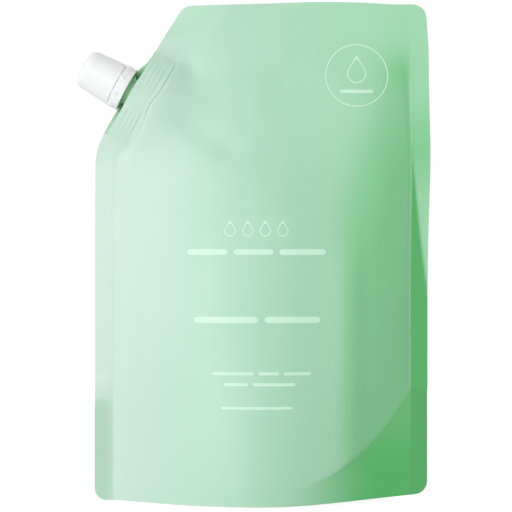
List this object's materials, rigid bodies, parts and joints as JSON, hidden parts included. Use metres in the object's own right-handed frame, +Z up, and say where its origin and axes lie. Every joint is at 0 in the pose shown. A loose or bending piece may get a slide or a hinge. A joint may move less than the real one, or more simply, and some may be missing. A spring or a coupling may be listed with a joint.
{
  "type": "hand soap refill pack",
  "caption": "Stand-up refill pouch of liquid hand soap, with a slanted top corner, a welded spout and a ribbed screw cap with its tamper band.",
  "frame": {"origin": "middle of the flat base that the pouch stands on", "axes": "+Z up, -Y towards the printed front, +X towards the side away from the spout"},
  "size_m": [0.1464, 0.0556, 0.2065],
  "materials": {
    "film": "satin",
    "spout_plastic": "satin",
    "cap_plastic": "satin",
    "liner": "matte"
  },
  "bodies": {
    "pack": {"pouch": "film", "spout": "spout_plastic", "tamper_band": "cap_plastic"},
    "liner": {"cap_liner": "liner"},
    "cap": {"cap": "cap_plastic"}
  },
  "joints": [
    {"name": "cap_lift", "type": "slide", "parent": "pack", "child": "liner", "axis": [-0.8788, 0, 0.4772], "range_m": [0, 0.015]},
    {"name": "cap_turn", "type": "hinge", "parent": "liner", "child": "cap", "pos_m": [-0.05431, 0, 0.16973], "axis": [-0.8788, 0, 0.4772], "range_deg": [0, 900]}
  ],
  "couplings": [
    {"joint": "cap_turn", "follows": "cap_lift", "rad_per_m": 1047.2}
  ]
}
